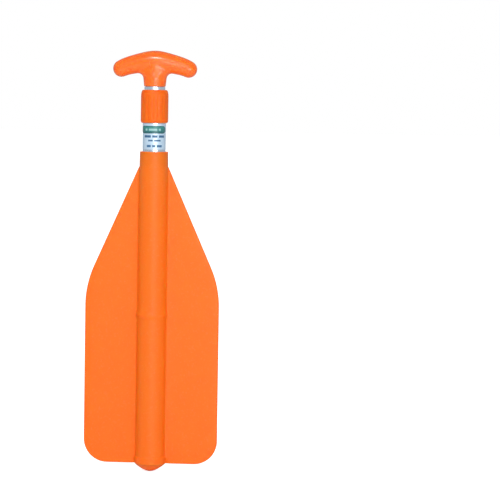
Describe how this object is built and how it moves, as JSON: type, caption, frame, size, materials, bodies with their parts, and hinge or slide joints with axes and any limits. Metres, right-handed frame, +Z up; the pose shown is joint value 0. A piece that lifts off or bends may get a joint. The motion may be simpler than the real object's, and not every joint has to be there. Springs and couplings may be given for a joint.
{
  "type": "telescoping boat paddle",
  "caption": "Orange telescoping boat paddle: flat blade on a hollow spine, two sliding aluminium tubes with twist locks, ribbed hand collar and T-grip.",
  "frame": {"origin": "tip of the nose, under the middle of the whole paddle, collapsed", "axes": "+Z up the shaft from the nose to the T-grip, +X across the blade's width, -Y out of the blade's front face"},
  "size_m": [0.1644, 0.038, 0.514],
  "materials": {
    "blade_plastic": "safety orange moulded plastic, satin",
    "collar_plastic": "safety orange moulded plastic, satin",
    "grip_plastic": "safety orange moulded plastic, semi-gloss",
    "aluminium_tube": "drawn and polished",
    "lock_steel": "stainless, turned",
    "lock_nylon": "natural nylon",
    "seal_rubber": "matt black",
    "label_film": "silver-white film with a plain teal band and plain dashes"
  },
  "bodies": {
    "blade": {"blade": "blade_plastic", "nose_plug": "blade_plastic", "neck_bush": "collar_plastic"},
    "lower_shoe": {"lower_expander_sleeve": "lock_nylon", "lower_thrust_washer": "lock_steel"},
    "lower_cone": {"lower_expander_cone": "lock_nylon"},
    "mid_shaft": {"outer_tube": "aluminium_tube", "lower_lock_plug": "lock_nylon", "lower_lock_stud": "lock_steel", "lower_lock_pin": "lock_steel", "lower_lock_nut": "lock_steel", "collar": "collar_plastic", "wiper_ring": "seal_rubber", "label": "label_film"},
    "upper_shoe": {"upper_expander_sleeve": "lock_nylon", "upper_thrust_washer": "lock_steel"},
    "upper_cone": {"upper_expander_cone": "lock_nylon"},
    "handle": {"inner_tube": "aluminium_tube", "upper_lock_plug": "lock_nylon", "upper_lock_stud": "lock_steel", "upper_lock_pin": "lock_steel", "upper_lock_nut": "lock_steel", "t_grip": "grip_plastic", "grip_pin": "lock_steel"}
  },
  "joints": [
    {"name": "outer_tube_slide", "type": "slide", "parent": "blade", "child": "lower_shoe", "axis": [0, 0, 1], "range_m": [0, 0.27]},
    {"name": "outer_tube_twist", "type": "hinge", "parent": "lower_shoe", "child": "mid_shaft", "pos_m": [0, 0, 0.0745], "axis": [0, 0, -1], "range_deg": [0, 90]},
    {"name": "lower_cone_travel", "type": "slide", "parent": "lower_shoe", "child": "lower_cone", "axis": [0, 0, 1], "range_m": [0, 0.0006]},
    {"name": "inner_tube_slide", "type": "slide", "parent": "mid_shaft", "child": "upper_shoe", "axis": [0, 0, 1], "range_m": [0, 0.283]},
    {"name": "handle_twist", "type": "hinge", "parent": "upper_shoe", "child": "handle", "pos_m": [0, 0, 0.141], "axis": [0, 0, -1], "range_deg": [0, 90]},
    {"name": "upper_cone_travel", "type": "slide", "parent": "upper_shoe", "child": "upper_cone", "axis": [0, 0, 1], "range_m": [0, 0.0006]}
  ],
  "couplings": [
    {"joint": "lower_cone_travel", "follows": "outer_tube_twist", "m_per_rad": 0.000318},
    {"joint": "upper_cone_travel", "follows": "handle_twist", "m_per_rad": 0.000318}
  ]
}
